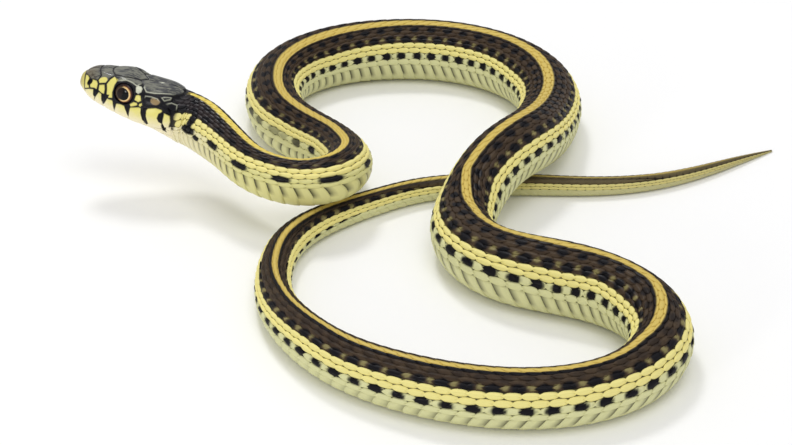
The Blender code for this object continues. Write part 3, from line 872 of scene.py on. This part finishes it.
# Black bars over the seams of the lip, in the same way.
BLACK_MARKS = (
    ((3.4, 5.2), (4.5, 5.5), (4.8, 6.0), (4.1, 7.4), (3.6, 6.6)),
    ((5.3, 6.3), (7.1, 6.5), (6.9, 7.1), (6.2, 8.8), (5.6, 7.8)),
    ((7.9, 7.4), (8.9, 8.0), (8.9, 8.8), (8.7, 10.3), (8.3, 9.0)),
    ((10.6, 8.1), (11.6, 7.3), (12.0, 7.9), (11.9, 10.4), (11.3, 9.2)),
    ((14.0, 6.8), (15.6, 6.8), (15.4, 7.5), (15.6, 8.6), (16.3, 10.2), (15.9, 10.7), (14.9, 9.6),
     (14.3, 8.2)),
    ((17.9, 7.4), (18.7, 6.6), (19.0, 7.2), (19.0, 9.1), (18.3, 9.0), (17.8, 8.3)),
    ((18.9, 9.5), (19.9, 9.9), (20.4, 10.6), (19.4, 10.7)),
)
MIDLINE_SHIFT = 0.7      # the crown's middle seam lies this far to the right of the top
# The mouth's line: distance from the snout, and height.
MOUTH = (
    (-1.0, -0.75), (0.8, -1.05), (2.3, -1.65), (4.7, -2.10), (9.7, -2.45), (13.4, -2.55),
    (16.5, -2.35), (19.0, -1.95), (22.5, -1.3),
)
LOWER_LIP_SEAMS = (1.3, 2.7, 4.4, 6.4, 8.8, 11.6, 14.8, 17.8, 19.9)
LOWER_LIP_WIDTH = 1.9
CHIN_SEAMS = (2.7, 7.6, 12.6)
THROAT_SCALE = (1.7, 1.4)
NOSTRIL = (2.35, 3.55)
SHELL_BACK = 21.9
SHELL_ROWS = 225
SHELL_COLUMNS = 353
GROOVE = 0.17
MARK_EDGE = 0.12         # how soft the edges of colours are
SNOUT_SEAM = (0.8, 5.9)  # the crown's middle has a seam here, and again behind CROWN_SEAM
CROWN_SEAM = 13.4


def inside(along, girth, corners):
    """Distance of points to an outline, less than 0 outside. A side on the crown's middle isn't
    counted, because there the two halves meet."""
    within = np.zeros(along.shape, bool)
    nearest = np.full(along.shape, np.inf)
    for (x0, y0), (x1, y1) in zip(corners, corners[1:] + corners[:1]):
        if y0 != y1:
            within ^= ((y0 > girth) != (y1 > girth)) & (along < (x1 - x0) * (girth - y0) / (y1 - y0) + x0)
        share = np.clip(((along - x0) * (x1 - x0) + (girth - y0) * (y1 - y0))
                        / ((x1 - x0) ** 2 + (y1 - y0) ** 2), 0, 1)
        gap = np.hypot(along - x0 - share * (x1 - x0), girth - y0 - share * (y1 - y0))
        if y0 or y1:
            nearest = np.minimum(nearest, gap)
    return np.where(within, nearest, -nearest)


def shell_plates(along, girth):
    """Distance to the nearest plate edge, and each kind's share, for points of half the head."""
    edge = np.zeros(along.shape)
    kinds = {kind: np.zeros(along.shape) for kind in ("crown", "gold", "pale", "temple", "lip")}
    for kind, corners in PLATES:
        depth = inside(along, girth, corners)
        edge = np.where(depth > 0, depth, edge)
        kinds[kind] = np.maximum(kinds[kind], past(depth, 0, MARK_EDGE))
    return edge, kinds


shell_x = SHELL_BACK * np.linspace(0, 1, SHELL_ROWS) ** 1.25
shell_side = np.linspace(-1, 1, SHELL_COLUMNS)
along, around = np.meshgrid(shell_x, shell_side, indexing="ij")
whole_girth = girth_of_head(along)
signed = around * whole_girth
shift = MIDLINE_SHIFT * np.clip((along - 2.5) / 3.0, 0, 1) * np.clip(1 - np.abs(signed) / 8, 0, 1)
girth = np.abs(signed + shift)
lip_at = []
for station in range(HEAD_STATIONS):
    height = read_table(MOUTH, section_root[station] ** 2)
    even = np.linspace(0, half_girth[station], HALF_SECTION)
    lip_at.append(np.interp(-height, -sections[station, :, 1], even))
below_lip = girth - np.interp(np.sqrt(along), section_root, lip_at)
lower = below_lip > 0

edge, kinds = shell_plates(along, girth)
has_seam = ((along > SNOUT_SEAM[0]) & (along < SNOUT_SEAM[1])) | (along > CROWN_SEAM)
edge = np.where(has_seam & (girth < 1.2), np.minimum(edge, girth), edge)
seams = np.min([np.abs(along - seam + 0.25 * below_lip) for seam in LOWER_LIP_SEAMS], axis=0)
lower_edge = np.minimum(np.minimum(seams, np.abs(below_lip - LOWER_LIP_WIDTH)), below_lip)
chin_seams = np.min([np.abs(along - seam) for seam in CHIN_SEAMS], axis=0)
chin_edge = np.minimum(np.minimum(chin_seams, below_lip - LOWER_LIP_WIDTH), whole_girth - girth)
column = np.floor(girth / THROAT_SCALE[1])
throat_x = (along / THROAT_SCALE[0] + 0.5 * (column % 2)) % 1
throat_y = (girth / THROAT_SCALE[1]) % 1
throat_edge = np.minimum(0.5 - np.abs(throat_x - 0.5), 0.5 - np.abs(throat_y - 0.5)) * 1.5
throat = (along > CHIN_SEAMS[-1]) | (along > LOWER_LIP_SEAMS[-1])
chin_edge = np.where(throat, throat_edge, chin_edge)
lower_edge = np.where((below_lip < LOWER_LIP_WIDTH) & (along < LOWER_LIP_SEAMS[-1]), lower_edge, chin_edge)
edge = np.where(lower, lower_edge, edge)

shell = on_head(along, around, 0 * along)
to_eye, above_eye = from_eye(shell, around)
nostril = np.hypot((along - NOSTRIL[0]) / 0.52, (girth - NOSTRIL[1]) / 0.66)
lift = 0.02 + 0.10 * ease(edge / GROOVE) + 0.07 * (1 - np.exp(-edge / 0.6))
lift = lift - 0.20 * np.exp(-(below_lip / 0.13) ** 2) * np.clip((19.8 - along) / 0.8, 0, 1)
lift = lift - 0.13 * ease(below_lip / 0.3)
lift = lift - 0.32 * ease((1.25 - nostril) / 0.6)
lift = lift + 0.20 * np.exp(-((to_eye - 2.45) / 0.32) ** 2) * np.clip(above_eye / 1.2, 0, 1)
lift = lift + 0.06 * np.exp(-((to_eye - 2.22) / 0.14) ** 2)
lift = lift - SOCKET_DEPTH * ease((2.16 - to_eye) / 0.22)
lift = lift - 0.5 * np.clip((along - 21.5) / 0.4, 0, 1)
bare = 1 - np.clip(sum(kinds.values()), 0, 1)
lift = lift - 0.38 * bare * np.clip((along - 19.2) / 0.5, 0, 1) * (below_lip < 0)
shell = on_head(along, around, lift)
shell[0] = shell[0].mean(axis=0)

black = np.where(lower | (below_lip > -0.6), 0, bare)
for corners in BLACK_MARKS:
    black = np.maximum(black, past(inside(along, girth, corners), 0, MARK_EDGE))
black = np.maximum(black, past(2.20, to_eye, 0.1))
# Each nostril's shallow pit is painted black: painted shade standing in for the depth of the opening.
black = np.maximum(black, ease((1.2 - nostril) / 0.3))
dark_seams = np.where(lower | (kinds["lip"] > 0), np.clip(-0.5 - below_lip / 3.2, 0.12, 1), 1.0)
dark_seams = np.where(lower, 0.14, dark_seams)
dark_seams = np.where(np.abs(below_lip) < 0.2, 0.5, dark_seams)
cream = np.clip(kinds["lip"] + kinds["gold"] + (below_lip > -0.7), 0, 1)
patch = np.hypot((along - 4.95) / 0.95, (girth - 3.75) / 0.62)
cream = np.maximum(cream, np.clip((1.1 - patch) / 0.2, 0, 1))
rim = np.exp(-((edge - 0.21) / 0.09) ** 2)
rear_crown = kinds["crown"] * np.clip((along - 8.0) / 0.8, 0, 1) * np.clip(girth - 2.6, 0, 1)
pale = kinds["pale"] + 0.8 * rim * rear_crown
# On the temple plates the pale line is kept to their upper edges: partly the plates' pale edging, partly a
# painted highlight where light falls on them.
pale = np.maximum(pale, rim * kinds["temple"] * np.clip((5.4 - girth) / 0.8, 0.0, 0.6))
pale = np.maximum(pale, np.clip(1.2 - np.hypot((along - 16.2) / 0.6, (girth - 0.15) / 0.14), 0, 1))
temple = np.clip((1.15 - np.hypot((along - 16.6) / 1.0, (girth - 5.35) / 0.75)) / 0.3, 0, 1)
black = np.maximum(black, kinds["temple"] * (1 - temple))

plate_marks = np.stack((cream, pale, black, temple), axis=-1)
plate_shape = np.stack((np.exp(-(edge / 0.13) ** 2) * dark_seams, np.clip(-below_lip / 6, 0, 1),
                        kinds["gold"], along / HEAD_LENGTH), axis=-1)

OLIVE = (0.185, 0.185, 0.150)
DARK_OLIVE = (0.036, 0.038, 0.044)
LIP_CREAM = (0.93, 0.84, 0.56)
LIP_YELLOW = (0.83, 0.75, 0.21)
PALE_MARK_AND_HIGHLIGHT = (0.66, 0.67, 0.52)
TEMPLE_BROWN = (0.33, 0.23, 0.11)
SNOUT_BROWN = (0.17, 0.12, 0.055)
TIP_BROWN = (0.30, 0.22, 0.08)
PLATE_SEAM = (0.010, 0.0095, 0.012)
PLATE_BLACK = (0.0045, 0.0042, 0.0075)
horn, start = new_material("glossy_head_plates")
cream, pale, black, temple = start.attribute("plate_marks")
seam, above_lip, gold, along_head = start.attribute("plate_shape")
place = start.node("ShaderNodeTexCoord", {}, {}, "Object")
mottle = start.node("ShaderNodeTexNoise", {}, {"Vector": place, "Scale": 620.0, "Detail": 5.0,
                                               "Roughness": 0.6})
stretched = start.node("ShaderNodeMapping", {}, {"Vector": place, "Scale": (0.35, 1.6, 1.6)})
streaks = start.node("ShaderNodeTexNoise", {}, {"Vector": stretched, "Scale": 1500.0, "Detail": 3.0})
rear = (along_head * 3.0 - 1.3).limited() * 0.5
crown = start.mix(OLIVE, DARK_OLIVE, (mottle * 3.0 + streaks * 4.2 - 3.35 + rear).limited())
crown = start.mix(crown, SNOUT_BROWN, (1 - along_head * 5.5).limited() * 0.8)
yellow = start.mix(LIP_YELLOW, LIP_CREAM, (1.3 - above_lip * 2.5 + (mottle - 0.5) * 0.8).limited())
yellow = start.mix(yellow, LIP_YELLOW, gold * 0.75)
yellow = start.mix(yellow, TIP_BROWN, (1.25 - along_head * 22).limited() * 0.6)
colour = start.mix(crown, yellow, cream)
colour = start.mix(colour, TEMPLE_BROWN, temple * (mottle * 9 - 3.9).limited())
colour = start.mix(colour, PLATE_SEAM, seam.limited())
colour = start.mix(colour, PLATE_BLACK, black)
# The pale marks include a painted highlight along the temple plates' upper edges.
colour = start.mix(colour, PALE_MARK_AND_HIGHLIGHT, pale.limited())
bump = start.node("ShaderNodeBump", {}, {"Strength": 0.2, "Distance": 0.00003,
                                         "Height": streaks + mottle * 0.5})
start.finish({"Base Color": colour, "Roughness": 0.30 + mottle * 0.14,
              "Coat Weight": (0.34 - cream * 0.16) * (1 - black * 0.75),
              "Coat Roughness": 0.16, "Specular IOR Level": 0.14, "Normal": bump})
new_mesh("head_shell", shell, grid_faces(SHELL_ROWS, SHELL_COLUMNS, flip=True),
         {"plate_marks": plate_marks, "plate_shape": plate_shape},
         on_map(along / SHELL_BACK, (around + 1) / 2), horn)


# The eyes: a round black pupil in a ring of gold, under one clear, wet scale. Each is a
# flattened ball set in its socket, and looks outward, a little forward and up.
PUPIL = 0.575            # radius, as a share of the eye's
GOLD_RING = (0.61, 0.77)
EYE_RINGS = 40
EYE_SPOKES = 72
PUPIL_BLACK = (0.002, 0.002, 0.003)
IRIS_BROWN = (0.020, 0.011, 0.010)
IRIS_STOPS = ((0.0, PUPIL_BLACK), (PUPIL - 0.01, PUPIL_BLACK), (PUPIL + 0.02, (0.10, 0.04, 0.012)),
              (GOLD_RING[0] + 0.03, (0.95, 0.76, 0.40)), (GOLD_RING[1] - 0.05, (0.84, 0.50, 0.17)),
              (GOLD_RING[1] + 0.02, (0.11, 0.045, 0.03)), (0.93, (0.012, 0.010, 0.016)),
              (1.0, (0.003, 0.003, 0.004)))
iris, start = new_material("wet_gold_iris")
radius_share, forward_share, up_share = start.attribute("iris")[:3]
place = start.node("ShaderNodeTexCoord", {}, {}, "Object")
fibres = start.node("ShaderNodeTexNoise", {}, {"Vector": place, "Scale": 2600.0, "Detail": 4.0})
from_centre = radius_share + (fibres - 0.5) * 0.05
rings = start.node("ShaderNodeValToRGB", {"stops": IRIS_STOPS}, {"Fac": from_centre})
dim = (forward_share * 1.6 + up_share * 0.1 + 0.25 + (fibres - 0.5) * 0.9).limited()
start.finish({"Base Color": start.mix(rings, IRIS_BROWN, dim * 0.93), "Roughness": 0.25,
              "Specular IOR Level": 0.02, "Coat Weight": 0.30, "Coat Roughness": 0.03})

slope = np.linspace(0.001, pi * 0.98, EYE_RINGS)[:, None]
turn = np.linspace(0, 2 * pi, EYE_SPOKES + 1)[None, :]
out = EYE_RADIUS * np.sin(slope)
radius_share = np.where(slope < pi / 2, np.sin(slope), 1.0)
eye_data = np.stack(np.broadcast_arrays(radius_share, np.cos(turn), np.sin(turn), 1.0), axis=-1)
eye_uv = on_map(0.5 + slope / pi * np.cos(turn) / 2, 0.5 + slope / pi * np.sin(turn) / 2)
eye_faces = grid_faces(EYE_RINGS, EYE_SPOKES + 1, flip=True)
for side, name in ((1, "left"), (-1, "right")):
    centre, looks = eye_places[side]
    forward = unit(head_forward - (head_forward @ looks) * looks)
    above = unit(head_up - (head_up @ looks) * looks - (head_up @ forward) * forward)
    ball = (centre + (out * np.cos(turn))[..., None] * forward + (out * np.sin(turn))[..., None] * above
            + (EYE_DEPTH * np.cos(slope))[..., None] * looks)
    new_mesh(f"eyeball_{name}", ball, eye_faces[:, ::side], {"iris": eye_data}, eye_uv,
             iris, [f"eye_{name}"])
